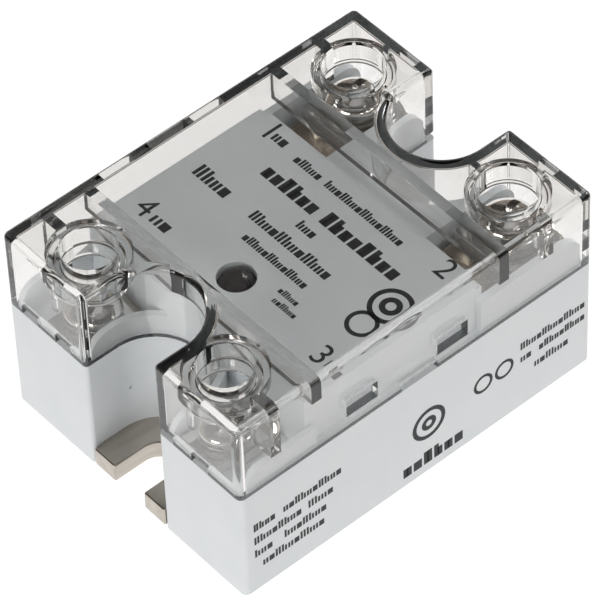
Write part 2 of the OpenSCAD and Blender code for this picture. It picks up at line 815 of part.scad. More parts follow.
base_plate();
housing();
ceramic_substrate();
copper_tracks();
thyristor_dice();
bridge_straps();
busbar_1();
busbar_2();
header_pins();
potting();
driver_board();
optocoupler();
bridge_rectifier();
snubber_capacitor();
smoothing_capacitor();
board_resistors();
varistor();
status_lamp();
input_strip_3();
input_strip_4();
output_nuts();
input_nuts();
clear_cover();
driver_collars();
clamp_1();
clamp_2();
clamp_3();
clamp_4();
washer_1();
washer_2();
washer_3();
washer_4();
screw_1();
screw_2();
screw_3();
screw_4();
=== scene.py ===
"""Looks of a panel-mount solid state relay with a clear lift-off touch guard.

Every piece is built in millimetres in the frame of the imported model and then
scaled to metres. +X points to output terminals 1 and 2, terminals 3 and 4 are
the control input, and z = 0 is the underside of the metal base plate.
"""

import json
import logging
import math
from dataclasses import dataclass
from enum import Enum
from typing import Optional, Sequence

import bmesh
import bpy
from mathutils import Matrix, Vector


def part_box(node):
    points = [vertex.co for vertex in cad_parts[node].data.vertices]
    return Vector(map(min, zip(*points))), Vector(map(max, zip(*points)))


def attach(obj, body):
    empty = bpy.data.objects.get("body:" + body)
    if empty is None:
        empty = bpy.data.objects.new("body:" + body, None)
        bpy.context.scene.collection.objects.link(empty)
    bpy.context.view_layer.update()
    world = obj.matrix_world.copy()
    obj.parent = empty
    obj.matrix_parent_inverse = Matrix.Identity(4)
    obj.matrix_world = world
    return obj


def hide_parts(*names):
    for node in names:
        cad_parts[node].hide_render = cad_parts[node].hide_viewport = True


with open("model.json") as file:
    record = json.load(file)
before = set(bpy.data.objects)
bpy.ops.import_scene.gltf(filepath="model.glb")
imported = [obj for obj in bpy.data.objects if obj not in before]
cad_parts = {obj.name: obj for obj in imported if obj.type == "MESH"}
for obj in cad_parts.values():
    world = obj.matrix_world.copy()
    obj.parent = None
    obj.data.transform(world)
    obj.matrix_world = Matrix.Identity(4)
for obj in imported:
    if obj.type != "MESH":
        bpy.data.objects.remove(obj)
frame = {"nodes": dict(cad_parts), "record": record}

log = logging.getLogger("relay")

MM = 0.001
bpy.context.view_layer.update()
NODE_WELD = 0.002  # mm between CAD points that count as one
PIECE_WELD = 0.0008  # mm, the same for a finished piece
SLIVER = 0.0005  # mm, edges below this are dropped
NODE_FLAT = math.radians(0.5)  # CAD faces closer than this are merged
PIECE_FLAT = math.radians(0.3)
NOISE_LOW, NOISE_HIGH = 0.3, 0.7  # where nearly all noise values lie

Point = tuple[float, float]
Colour = tuple[float, float, float]


# ---- Solids -----------------------------------------------------------------


class Join(Enum):
    """How two solids are combined."""

    UNION = "UNION"
    CUT = "DIFFERENCE"


def arc(cx: float, cy: float, r: float, start: float, end: float, steps: int) -> list[Point]:
    """Points along a circular arc.

    Args:
        cx: X of the arc's centre.
        cy: Y of the arc's centre.
        r: Radius.
        start: First angle in degrees.
        end: Last angle in degrees.
        steps: Number of chords.

    Returns:
        steps + 1 points, from the first angle to the last.
    """
    angles = [math.radians(start + (end - start) * i / steps) for i in range(steps + 1)]
    return [(cx + r * math.cos(a), cy + r * math.sin(a)) for a in angles]


def fillet_steps(count: int) -> list[tuple[float, float]]:
    """Shares (across, along) of a quarter round, from its start to its end."""
    angles = [math.pi / 2 * i / count for i in range(count + 1)]
    return [(1 - math.cos(a), math.sin(a)) for a in angles]


class Solid:
    """A closed mesh in millimetres that is joined to and cut by others."""

    def __init__(self, verts: Sequence[Sequence[float]], faces: Sequence[Sequence[int]]) -> None:
        """Makes the mesh.

        Args:
            verts: Corner points in millimetres.
            faces: Corner numbers of each face, anticlockwise from outside.
        """
        mesh = bpy.data.meshes.new("solid")
        mesh.from_pydata([tuple(v) for v in verts], [], [tuple(f) for f in faces])
        mesh.validate()
        self.obj = bpy.data.objects.new("solid", mesh)
        bpy.context.scene.collection.objects.link(self.obj)

    @classmethod
    def loft(cls, rings: Sequence[Sequence[Sequence[float]]]) -> "Solid":
        """Joins rings of equal length, lowest first, and closes both ends.

        Args:
            rings: Rings of points, each anticlockwise from above.

        Returns:
            The closed solid.
        """
        n = len(rings[0])
        verts = [p for ring in rings for p in ring]
        faces = [
            (k * n + i, k * n + (i + 1) % n, (k + 1) * n + (i + 1) % n, (k + 1) * n + i)
            for k in range(len(rings) - 1)
            for i in range(n)
        ]
        faces.append(tuple(reversed(range(n))))
        faces.append(tuple(range((len(rings) - 1) * n, len(rings) * n)))
        return cls(verts, faces)

    @classmethod
    def prism(cls, outline: Sequence[Point], low: float, high: float) -> "Solid":
        """A straight solid on an outline, from height low to height high."""
        return cls.loft([[(x, y, z) for x, y in outline] for z in (low, high)])

    @classmethod
    def disc(cls, centre: Point, r: float, low: float, high: float, sides: int) -> "Solid":
        """A round solid from height low to height high."""
        return cls.prism(arc(*centre, r, 0, 360, sides)[:-1], low, high)

    @classmethod
    def box(cls, low: Sequence[float], high: Sequence[float]) -> "Solid":
        """A block between two opposite corners."""
        x0, y0, z0 = low
        x1, y1, z1 = high
        return cls.prism([(x0, y0), (x1, y0), (x1, y1), (x0, y1)], z0, z1)

    @classmethod
    def lathe(cls, profile: Sequence[Point], centre: Point, steps: int = 96) -> "Solid":
        """Turns a profile about a vertical axis.

        Args:
            profile: (radius, height) from the lowest point on the axis, out
                and up, to the highest point on the axis.
            centre: X and Y of the axis.
            steps: Number of sides.

        Returns:
            The turned solid.
        """
        cx, cy = centre
        verts: list[tuple[float, float, float]] = [(cx, cy, profile[0][1])]
        for r, z in profile[1:-1]:
            verts += [(x, y, z) for x, y in arc(cx, cy, r, 0, 360, steps)[:-1]]
        verts.append((cx, cy, profile[-1][1]))
        rows = len(profile) - 2
        last = len(verts) - 1
        faces: list[tuple[int, ...]] = []
        for i in range(steps):
            j = (i + 1) % steps
            faces.append((0, 1 + j, 1 + i))
            for k in range(rows - 1):
                a, b = 1 + k * steps, 1 + (k + 1) * steps
                faces.append((a + i, a + j, b + j, b + i))
            top = 1 + (rows - 1) * steps
            faces.append((top + i, top + j, last))
        return cls(verts, faces)

    @classmethod
    def from_node(cls, node: str) -> "Solid":
        """A welded copy of a CAD node's mesh, in millimetres.

        Args:
            node: Name of the node.

        Returns:
            The copy, with flat faces merged back into single faces.
        """
        bm = bmesh.new()
        bm.from_mesh(frame["nodes"][node].data)
        bm.transform(Matrix.Scale(1 / MM, 4))
        bmesh.ops.remove_doubles(bm, verts=bm.verts, dist=NODE_WELD)
        bmesh.ops.dissolve_limit(bm, angle_limit=NODE_FLAT, verts=bm.verts, edges=bm.edges)
        solid = cls([], [])
        bm.to_mesh(solid.obj.data)
        bm.free()
        solid.obj.data.materials.clear()
        return solid

    def combine(self, other: "Solid", how: Join) -> "Solid":
        """Combines this solid with another, which is used up.

        Args:
            other: The other solid.
            how: Union or cut.

        Returns:
            This solid.
        """
        modifier = self.obj.modifiers.new("combine", "BOOLEAN")
        modifier.operation = how.value
        modifier.solver = "MANIFOLD"
        modifier.object = other.obj
        graph = bpy.context.evaluated_depsgraph_get()
        mesh = bpy.data.meshes.new_from_object(self.obj.evaluated_get(graph))
        self.obj.modifiers.clear()
        self.obj.data = mesh
        bpy.data.objects.remove(other.obj)
        return self

    def add(self, *others: "Solid") -> "Solid":
        """Joins other solids to this one."""
        for other in others:
            self.combine(other, Join.UNION)
        return self

    def cut(self, *others: "Solid") -> "Solid":
        """Takes other solids out of this one."""
        for other in others:
            self.combine(other, Join.CUT)
        return self

    def turned(self, angle: float, centre: Point) -> "Solid":
        """Turns the solid about a vertical axis.

        Args:
            angle: Angle in degrees, anticlockwise from above.
            centre: X and Y of the axis.

        Returns:
            This solid.
        """
        to_axis = Matrix.Translation((centre[0], centre[1], 0))
        turn = Matrix.Rotation(math.radians(angle), 4, "Z")
        self.obj.data.transform(to_axis @ turn @ to_axis.inverted())
        return self

    def stood_up(self, y: float) -> "Solid":
        """Turns height into depth: Y becomes Z, and Z runs towards -Y from a plane.

        Args:
            y: Place of the plane.

        Returns:
            This solid.
        """
        turn = Matrix.Rotation(math.pi / 2, 4, "X")
        self.obj.data.transform(Matrix.Translation((0, y, 0)) @ turn)
        return self


@dataclass(frozen=True)
class Edges:
    """How the edges of a piece are rounded and shaded."""

    bevel: float = 0.12
    steps: int = 2
    bevel_angle: float = 40.0
    smooth_angle: float = 32.0
    split: bool = False  # cut broad faces first, so that none closes over a notch


@dataclass(frozen=True)
class Place:
    """Where a piece belongs: its body, the nodes it stands for and its slot.
    """

    body: str
    nodes: tuple[str, ...] = ()
    slot: str = ""


def shade(mesh: bpy.types.Mesh, smooth_angle: float) -> None:
    """Shades a mesh smooth, apart from edges sharper than an angle.

    Args:
        mesh: The mesh.
        smooth_angle: Largest angle in degrees that is shaded smooth.
    """
    bm = bmesh.new()
    bm.from_mesh(mesh)
    limit = math.radians(smooth_angle)
    for face in bm.faces:
        face.smooth = True
    for edge in bm.edges:
        edge.smooth = len(edge.link_faces) == 2 and edge.calc_face_angle(0.0) < limit
    bm.to_mesh(mesh)
    bm.free()


def flatten(obj: bpy.types.Object) -> None:
    """Keeps broad faces flat where they meet rounded edges."""
    normals = obj.modifiers.new("flat_faces", "WEIGHTED_NORMAL")
    normals.mode = "FACE_AREA"
    normals.weight = 100
    normals.keep_sharp = True


def round_edges(obj: bpy.types.Object, edges: Edges) -> bpy.types.Modifier:
    """Adds a modifier that rounds the sharper edges, and returns it."""
    bevel = obj.modifiers.new("edge_rounding", "BEVEL")
    bevel.width = edges.bevel * MM
    bevel.segments = edges.steps
    bevel.limit_method = "ANGLE"
    bevel.angle_limit = math.radians(edges.bevel_angle)
    return bevel


def finish_piece(
    solid: Solid,
    name: str,
    place: Place,
    finish: "Finish",
    edges: Optional[Edges] = Edges(),
) -> bpy.types.Object:
    """Turns a solid into a finished piece of the model.

    Args:
        solid: The solid, in millimetres.
        name: Name of the piece.
        place: Body, replaced nodes and slot.
        finish: The piece's finish.
        edges: Edge rounding, or None to leave the edges as built.

    Returns:
        The finished object.
    """
    obj = solid.obj
    obj.name = name
    obj.data.name = name
    bm = bmesh.new()
    bm.from_mesh(obj.data)
    bmesh.ops.remove_doubles(bm, verts=bm.verts, dist=PIECE_WELD)
    bmesh.ops.dissolve_degenerate(bm, dist=SLIVER, edges=bm.edges)
    bmesh.ops.dissolve_limit(bm, angle_limit=PIECE_FLAT, verts=bm.verts, edges=bm.edges)
    if edges and edges.split:
        bmesh.ops.triangulate(bm, faces=[face for face in bm.faces if len(face.verts) > 4])
    bm.transform(Matrix.Scale(MM, 4))
    bm.to_mesh(obj.data)
    bm.free()
    shade(obj.data, edges.smooth_angle if edges else 32.0)
    if edges and edges.bevel:
        bevel = round_edges(obj, edges)
        bevel.miter_outer = "MITER_ARC"
        bevel.harden_normals = True
    flatten(obj)
    obj.data.materials.clear()
    obj.data.materials.append(finish.material())
    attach(obj, place.body)
    if place.nodes:
        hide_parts(*place.nodes)
    log.info("built %s on body %s, %d faces", name, place.body, len(obj.data.polygons))
    return obj


# ---- Finishes ---------------------------------------------------------------


class Nodes:
    """Short calls for the node tree of one material."""

    def __init__(self, name: str) -> None:
        """Makes a material with an empty tree and an output node."""
        self.mat = bpy.data.materials.new(name)
        self.mat.use_nodes = True
        self.tree = self.mat.node_tree
        self.tree.nodes.clear()
        self.out = self.tree.nodes.new("ShaderNodeOutputMaterial")
        self.coords = self.tree.nodes.new("ShaderNodeTexCoord").outputs["Object"]

    def link(self, source: bpy.types.NodeSocket, target: bpy.types.NodeSocket) -> None:
        """Links two sockets."""
        self.tree.links.new(source, target)

    def noise(
        self, size: float, detail: float = 3.0, stretch: Sequence[float] = (1, 1, 1)
    ) -> bpy.types.NodeSocket:
        """Noise in object space.

        Args:
            size: Size of the largest features in millimetres.
            detail: Octaves of finer detail.
            stretch: How much longer the features are along X, Y and Z.

        Returns:
            The noise value, from 0 to 1.
        """
        mapping = self.tree.nodes.new("ShaderNodeMapping")
        mapping.inputs["Scale"].default_value = [1 / (size * MM * s) for s in stretch]
        self.link(self.coords, mapping.inputs["Vector"])
        noise = self.tree.nodes.new("ShaderNodeTexNoise")
        noise.inputs["Scale"].default_value = 1.0
        noise.inputs["Detail"].default_value = detail
        self.link(mapping.outputs["Vector"], noise.inputs["Vector"])
        return noise.outputs["Fac"]

    def between(
        self, fac: bpy.types.NodeSocket, low: float, high: float
    ) -> bpy.types.NodeSocket:
        """Maps a noise value to a range.

        Args:
            fac: A value that is mostly between NOISE_LOW and NOISE_HIGH.
            low: Result at NOISE_LOW.
            high: Result at NOISE_HIGH.

        Returns:
            The mapped value.
        """
        node = self.tree.nodes.new("ShaderNodeMapRange")
        ends = {"From Min": NOISE_LOW, "From Max": NOISE_HIGH, "To Min": low, "To Max": high}
        for name, value in ends.items():
            node.inputs[name].default_value = value
        self.link(fac, node.inputs["Value"])
        return node.outputs["Result"]

    def tint(
        self, fac: bpy.types.NodeSocket, first: Colour, second: Colour
    ) -> bpy.types.NodeSocket:
        """A colour between two, by a noise value.

        Args:
            fac: The noise value.
            first: Colour at NOISE_LOW and below.
            second: Colour at NOISE_HIGH and above.

        Returns:
            The colour.
        """
        ramp = self.tree.nodes.new("ShaderNodeValToRGB")
        ends = ((NOISE_LOW, first), (NOISE_HIGH, second))
        for stop, (position, colour) in zip(ramp.color_ramp.elements, ends):
            stop.position, stop.color = position, (*colour, 1)
        self.link(fac, ramp.inputs["Fac"])
        return ramp.outputs["Color"]

    def bump(self, height: bpy.types.NodeSocket, depth: float) -> bpy.types.NodeSocket:
        """A bumped normal.

        Args:
            height: The height value, from 0 to 1.
            depth: Depth of the relief in millimetres.

        Returns:
            The normal.
        """
        node = self.tree.nodes.new("ShaderNodeBump")
        node.inputs["Distance"].default_value = depth * MM
        node.inputs["Strength"].default_value = 1.0
        self.link(height, node.inputs["Height"])
        return node.outputs["Normal"]

    def surface(self, **sockets: object) -> bpy.types.Node:
        """A Principled shader on the output.

        Args:
            **sockets: Plain values by socket name, with _ for a space.

        Returns:
            The shader node.
        """
        shader = self.tree.nodes.new("ShaderNodeBsdfPrincipled")
        for name, value in sockets.items():
            shader.inputs[name.replace("_", " ")].default_value = value
        self.link(shader.outputs["BSDF"], self.out.inputs["Surface"])
        return shader


@dataclass(frozen=True)
class Finish:
    """A moulded or painted surface with faint tone, gloss and grain."""

    name: str
    tone: Colour
    tone_2: Colour
    rough: tuple[float, float] = (0.4, 0.5)
    metallic: float = 0.0
    tone_size: float = 6.0
    grain_size: float = 0.16
    grain_depth: float = 0.004
    grain_stretch: tuple[float, float, float] = (1, 1, 1)

    @property
    def title(self) -> str:
        """The material's name, unlike that of any packed material."""
        return f"{self.name}_finish"

    def material(self) -> bpy.types.Material:
        """The material, made once and then shared."""
        return bpy.data.materials.get(self.title) or self.build()

    def build(self) -> bpy.types.Material:
        """Makes the node tree."""
        nodes = Nodes(self.title)
        shader = nodes.surface(Metallic=self.metallic)
        broad = nodes.noise(self.tone_size, 2, self.grain_stretch)
        fine = nodes.noise(self.grain_size, 3, self.grain_stretch)
        nodes.link(nodes.tint(broad, self.tone, self.tone_2), shader.inputs["Base Color"])
        nodes.link(nodes.between(fine, *self.rough), shader.inputs["Roughness"])
        nodes.link(nodes.bump(fine, self.grain_depth), shader.inputs["Normal"])
        return nodes.mat


@dataclass(frozen=True)
class ClearFinish(Finish):
    """Clear polished moulding that also lets light through to what is under it."""

    ior: float = 1.585
    shadow: Colour = (0.745, 0.757, 0.762)
    absorbed: Colour = (0.46, 0.49, 0.53)
    density: float = 58.0

    def build(self) -> bpy.types.Material:
        """Makes the node tree."""
        nodes = Nodes(self.title)
        shader = nodes.surface(IOR=self.ior, Transmission_Weight=1.0)
        broad = nodes.noise(self.tone_size, 1)
        nodes.link(nodes.tint(broad, self.tone, self.tone_2), shader.inputs["Base Color"])
        fine = nodes.noise(self.grain_size, 2)
        nodes.link(nodes.between(fine, *self.rough), shader.inputs["Roughness"])
        pass_light = nodes.tree.nodes.new("ShaderNodeBsdfTransparent")
        pass_light.inputs["Color"].default_value = (*self.shadow, 1)
        path = nodes.tree.nodes.new("ShaderNodeLightPath")
        mix = nodes.tree.nodes.new("ShaderNodeMixShader")
        nodes.link(path.outputs["Is Shadow Ray"], mix.inputs["Fac"])
        nodes.link(shader.outputs["BSDF"], mix.inputs[1])
        nodes.link(pass_light.outputs["BSDF"], mix.inputs[2])
        nodes.link(mix.outputs["Shader"], nodes.out.inputs["Surface"])
        body = nodes.tree.nodes.new("ShaderNodeVolumeAbsorption")
        body.inputs["Color"].default_value = (*(1 - share for share in self.absorbed), 1)
        body.inputs["Density"].default_value = self.density
        nodes.link(body.outputs["Volume"], nodes.out.inputs["Volume"])
        return nodes.mat


@dataclass(frozen=True)
class LensFinish(Finish):
    """Tinted, cloudy lamp lens."""

    ior: float = 1.45
    clear_share: float = 0.1

    def build(self) -> bpy.types.Material:
        """Makes the node tree."""
        nodes = Nodes(self.title)
        shader = nodes.surface(IOR=self.ior, Transmission_Weight=self.clear_share)
        broad = nodes.noise(self.tone_size, 2)
        nodes.link(nodes.tint(broad, self.tone, self.tone_2), shader.inputs["Base Color"])
        nodes.link(nodes.between(broad, *self.rough), shader.inputs["Roughness"])
        return nodes.mat


WHITE_MOULDING = Finish("white_moulding", (0.70, 0.73, 0.75), (0.73, 0.755, 0.77), (0.36, 0.5))
CLEAR_MOULDING = ClearFinish(
    "clear_moulding", (0.985, 0.98, 0.972), (0.975, 0.97, 0.96), (0.004, 0.016),
    tone_size=12, grain_size=4,
)
NICKEL_PLATE = Finish(
    "nickel_plate", (0.46, 0.42, 0.37), (0.55, 0.51, 0.455), (0.15, 0.27), 1.0,
    tone_size=1.4, grain_size=0.12, grain_stretch=(8, 1, 1),
)
PLATED_COPPER = Finish(
    "plated_copper", (0.56, 0.49, 0.40), (0.68, 0.61, 0.51), (0.14, 0.28), 1.0,
    tone_size=1.8, grain_size=0.1, grain_depth=0.001, grain_stretch=(5, 1, 1),
)
PLATED_STEEL = Finish(
    "plated_steel", (0.70, 0.68, 0.65), (0.80, 0.79, 0.77), (0.07, 0.16), 1.0,
    tone_size=1.6, grain_size=0.12, grain_depth=0.001,
)
SPRING_STEEL = Finish(
    "spring_steel", (0.42, 0.40, 0.37), (0.54, 0.52, 0.48), (0.25, 0.4), 1.0,
    tone_size=1.2, grain_size=0.12,
)
COPPER = Finish(
    "copper", (0.72, 0.36, 0.20), (0.80, 0.46, 0.28), (0.25, 0.42), 1.0,
    tone_size=2.5, grain_size=0.15, grain_stretch=(6, 1, 1),
)
CERAMIC = Finish("ceramic", (0.83, 0.82, 0.77), (0.88, 0.87, 0.83), (0.5, 0.65), grain_size=0.3)
SILICON = Finish("silicon", (0.10, 0.11, 0.14), (0.15, 0.16, 0.20), (0.08, 0.2), 0.6)
POTTING = Finish(
    "potting", (0.05, 0.055, 0.06), (0.09, 0.095, 0.10), (0.25, 0.5),
    tone_size=4, grain_size=1.5, grain_depth=0.05,
)
CIRCUIT_BOARD = Finish(
    "circuit_board", (0.015, 0.11, 0.045), (0.02, 0.15, 0.06), (0.25, 0.4),
    tone_size=2, grain_size=0.5, grain_depth=0.01,
)
BLACK_MOULDING = Finish("black_moulding", (0.012, 0.012, 0.013), (0.03, 0.03, 0.032), (0.4, 0.6))
BLUE_MOULDING = Finish("blue_moulding", (0.02, 0.06, 0.28), (0.03, 0.09, 0.36), (0.2, 0.35))
TAN_MOULDING = Finish("tan_moulding", (0.52, 0.36, 0.20), (0.62, 0.46, 0.28), (0.2, 0.35))
LAMP_LENS = LensFinish(
    "lamp_lens", (0.02, 0.019, 0.02), (0.05, 0.046, 0.046), (0.25, 0.4), tone_size=1.5
)
PRINT_INK = Finish(
    "print_ink", (0.008, 0.009, 0.011), (0.018, 0.019, 0.023), (0.5, 0.7),
    tone_size=0.6, grain_size=0.1,
)

SLOT_FINISHES: dict[str, Finish] = {
    f.name: f
    for f in (
        WHITE_MOULDING, CLEAR_MOULDING, NICKEL_PLATE, PLATED_COPPER, PLATED_STEEL,
        SPRING_STEEL, COPPER, CERAMIC, SILICON, POTTING, CIRCUIT_BOARD,
        BLACK_MOULDING, BLUE_MOULDING, TAN_MOULDING, LAMP_LENS,
    )
}


# ---- Shared sizes -----------------------------------------------------------


@dataclass(frozen=True)
class Envelope:
    """The overall sizes that the mouldings share, in millimetres."""

    end_x: float
    side_y: float
    seam_z: float
    top_z: float
    notch_r: float = 7.0
    notch_run: float = 5.05
    corner_r: float = 0.9
    lobe_r: float = 0.6
    least_r: float = 0.08

    @classmethod
    def from_frame(cls) -> "Envelope":
        """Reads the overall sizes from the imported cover."""
        low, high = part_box("clear_cover")
        return cls(high.x / MM, high.y / MM, low.z / MM, high.z / MM)

    def outline(self, inset: float, corner_r: float, lobe_r: float) -> list[Point]:
        """The body's outline, drawn in from its outer and notch walls.

        Args:
            inset: How far it is drawn in.
            corner_r: Radius of the four outer corners.
            lobe_r: Radius of the corners beside the notches.

        Returns:
            Points anticlockwise, the same number for any inset.
        """
        x, y = self.end_x - inset, self.side_y - inset
        n = self.notch_r + inset
        notch_x = self.end_x - self.notch_run
        half = arc(x - corner_r, corner_r - y, corner_r, -90, 0, 10)
        half += arc(x - lobe_r, -n - lobe_r, lobe_r, 0, 90, 8)
        half += arc(notch_x, 0, n, -90, -270, 56)
        half += arc(x - lobe_r, n + lobe_r, lobe_r, -90, 0, 8)
        half += arc(x - corner_r, y - corner_r, corner_r, 0, 90, 10)
        return half + [(-px, -py) for px, py in half]

    def shell(self, inset: float, low: float, high: float, edge_r: float,
              corner_r: float, lobe_r: float) -> Solid:
        """A solid on the outline with a rounded top edge.

        Args:
            inset: How far the outline is drawn in.
            low: Height of the bottom.
            high: Height of the top.
            edge_r: Radius of the top edge.
            corner_r: Radius of the outer corners.
            lobe_r: Radius of the corners beside the notches.

        Returns:
            The solid.
        """
        rings = [[(x, y, low) for x, y in self.outline(inset, corner_r, lobe_r)]]
        for across, along in fillet_steps(6):
            d = across * edge_r
            ring = self.outline(
                inset + d, max(corner_r - d, self.least_r), max(lobe_r - d, self.least_r)
            )
            z = high - edge_r + along * edge_r
            rings.append([(x, y, z) for x, y in ring])
        return Solid.loft(rings)


@dataclass(frozen=True)
class Terminal:
    """One screw terminal: its number, place and fastener sizes."""

    number: int
    centre: Point
    pad_z: float
    head_r: float
    head_h: float
    thread_r: float
    pitch: float
    tube_r: float
    tube_l: float
    turn: float
    clamp_t: float = 1.1
    washer_t: float = 0.8
    shank_l: float = 8.0

    @property
    def side(self) -> int:
        """1 on the +Y side and -1 on the -Y side."""
        return 1 if self.centre[1] > 0 else -1

    @property
    def is_output(self) -> bool:
        """True for terminals 1 and 2."""
        return self.centre[0] > 0

    @property
    def seat_z(self) -> float:
        """Height of the underside of the screw's head."""
        return self.pad_z + self.clamp_t + self.washer_t


def output_terminal(number: int, side: int, turn: float) -> Terminal:
    """An output terminal, on one side of the relay."""
    return Terminal(number, (22.1, side * 14.5), 21.7, 3.9, 3.2, 1.95, 0.7, 4.15, 4.0, turn)


def input_terminal(number: int, side: int, turn: float) -> Terminal:
    """An input terminal, on one side of the relay."""
    return Terminal(number, (-22.9, side * 13.0), 17.5, 3.3, 2.5, 1.7, 0.6, 3.65, 5.6, turn)


TERMINALS = (
    output_terminal(1, 1, 20),
    output_terminal(2, -1, 20),
    input_terminal(3, -1, 20),
    input_terminal(4, 1, 20),
)


# ---- Clear touch guard ------------------------------------------------------


@dataclass
class TouchGuard:
    """The clear cover: a lofted shell with driver tubes, ribs and windows."""

    env: Envelope
    wall: float = 1.2
    top_t: float = 1.3
    edge_r: float = 0.8
    inner_edge_r: float = 0.5
    collar_r: float = 5.5
    collar_l: float = 3.7
    tube_wall: float = 0.9
    foot_r: float = 0.35
    mouth_r: float = 0.15
    hole_foot_r: float = 0.2
    rib_t: float = 1.6
    input_rib: tuple[float, float] = (-16.2, 26.5)
    output_rib: tuple[float, float] = (14.6, 25.0)
    web_t: float = 1.0
    side_web_t: float = 1.6
    web_low: tuple[float, float] = (24.2, 21.9)
    web_step: float = 2.0
    web_grip: float = 0.6
    latch: tuple[float, float, float, float] = (5.1, 2.8, 2.3, 7.45)
    latch_mid: float = -1.95
    pry: tuple[float, float] = (6.0, 1.3)
    vent: tuple[float, float] = (3.1, 1.4)
    vent_y: tuple[float, ...] = (-14.85, -8.3, 11.4, 18.0)

    def shell(self) -> Solid:
        """The walls and top, open below."""
        env = self.env
        outer = env.shell(0, env.seam_z, env.top_z, self.edge_r, env.corner_r, env.lobe_r)
        inner = env.shell(
            self.wall, env.seam_z - 1, env.top_z - self.top_t, self.inner_edge_r,
            env.corner_r / 2, env.lobe_r / 2,
        )
        return outer.cut(inner)

    def sleeve(self, centre: Point, radius: float, length: float) -> Solid:
        """A round boss under the top, with a rounded foot.

        Args:
            centre: X and Y of its axis.
            radius: Outer radius.
            length: Depth below the cover's top face.

        Returns:
            The boss, not yet drilled.
        """
        foot = self.env.top_z - length
        rise = [
            (radius - self.foot_r * (1 - along), foot + self.foot_r * across)
            for across, along in fillet_steps(4)
        ]
        head = self.env.top_z - self.top_t / 2
        return Solid.lathe([(0, foot), *rise, (radius, head), (0, head)], centre)

    def drill(self, terminal: Terminal) -> Solid:
        """The cutter for a driver hole with a rounded mouth and foot.

        Args:
            terminal: The terminal under the hole.

        Returns:
            The cutter.
        """
        top, r = self.env.top_z, terminal.tube_r
        foot = top - terminal.tube_l
        flare = self.hole_foot_r
        lower = [
            (r + flare * (1 - along), foot + flare * across) for across, along in fillet_steps(3)
        ]
        mouth = [
            (r + self.mouth_r * across, top - self.mouth_r * (1 - along))
            for across, along in fillet_steps(5)
        ]
        profile = [(0, foot - 1), (r + flare, foot - 1), *lower, *mouth,
                   (r + self.mouth_r, top + 1), (0, top + 1)]
        return Solid.lathe(profile, terminal.centre)

    def webs(self, terminal: Terminal) -> list[Solid]:
        """Short ribs that brace a collar to the long wall, end wall and notch wall.

        Args:
            terminal: The terminal under the collar.

        Returns:
            The three ribs.
        """
        env, side = self.env, terminal.side
        cx, cy = terminal.centre
        end, low = (1, self.web_low[0]) if terminal.is_output else (-1, self.web_low[1])
        step, high = low + self.web_step, env.top_z - 1
        grip = self.collar_r - self.web_grip
        half, wide = self.web_t / 2, self.side_web_t / 2
        spans = [
            ((cx - wide, cy + side * grip, low),
             (cx + wide, side * (env.side_y - self.wall / 2), high)),
            ((cx + end * grip, cy - half, step),
             (end * (env.end_x - self.wall / 2), cy + half, high)),
            ((cx - half, side * (env.notch_r + self.wall / 2), step),
             (cx + half, cy - side * grip, high)),
        ]
        return [
            Solid.box([min(a, b) for a, b in zip(p, q)], [max(a, b) for a, b in zip(p, q)])
            for p, q in spans
        ]

    def cross_rib(self, x: float, low: float) -> Solid:
        """A rib right across the cover, with its underside at a height."""
        y = self.env.side_y - self.wall / 2
        return Solid.box(
            (x - self.rib_t / 2, -y, low), (x + self.rib_t / 2, y, self.env.top_z - 1)
        )

    def windows(self) -> list[Solid]:
        """Cutters for the latch windows, prying slots and end windows."""
        env = self.env
        width, height, up, pitch = self.latch
        far = env.side_y + 1
        z0 = env.seam_z + up
        cutters = [
            Solid.box((x - width / 2, -far, z0), (x + width / 2, far, z0 + height))
            for x in (self.latch_mid - pitch, self.latch_mid + pitch)
        ]
        pry_w, pry_h = self.pry
        cutters.append(
            Solid.box((-pry_w / 2, -far, env.seam_z - 1), (pry_w / 2, far, env.seam_z + pry_h))
        )
        vent_w, vent_h = self.vent
        inner, outer = env.end_x - self.wall - 0.3, env.end_x + 1
        for y in self.vent_y:
            for end in (-1, 1):
                xs = sorted((end * inner, end * outer))
                mid = -end * y
                cutters.append(
                    Solid.box((xs[0], mid - vent_w / 2, env.seam_z - 1),
                              (xs[1], mid + vent_w / 2, env.seam_z + vent_h))
                )
        return cutters

    def build(self) -> bpy.types.Object:
        """Builds the cover and puts it on its body."""
        cover = self.shell()
        for terminal in TERMINALS:
            cover.add(
                self.sleeve(terminal.centre, self.collar_r, self.collar_l),
                self.sleeve(terminal.centre, terminal.tube_r + self.tube_wall, terminal.tube_l),
                *self.webs(terminal),
            )
        cover.add(self.cross_rib(*self.input_rib), self.cross_rib(*self.output_rib))
        cover.cut(*(self.drill(terminal) for terminal in TERMINALS), *self.windows())
        place = Place("cover", ("clear_cover", "driver_collars"))
        return finish_piece(
            cover, "touch_guard", place, CLEAR_MOULDING, Edges(bevel=0.1, bevel_angle=50)
        )


# ---- Housing and base plate -------------------------------------------------


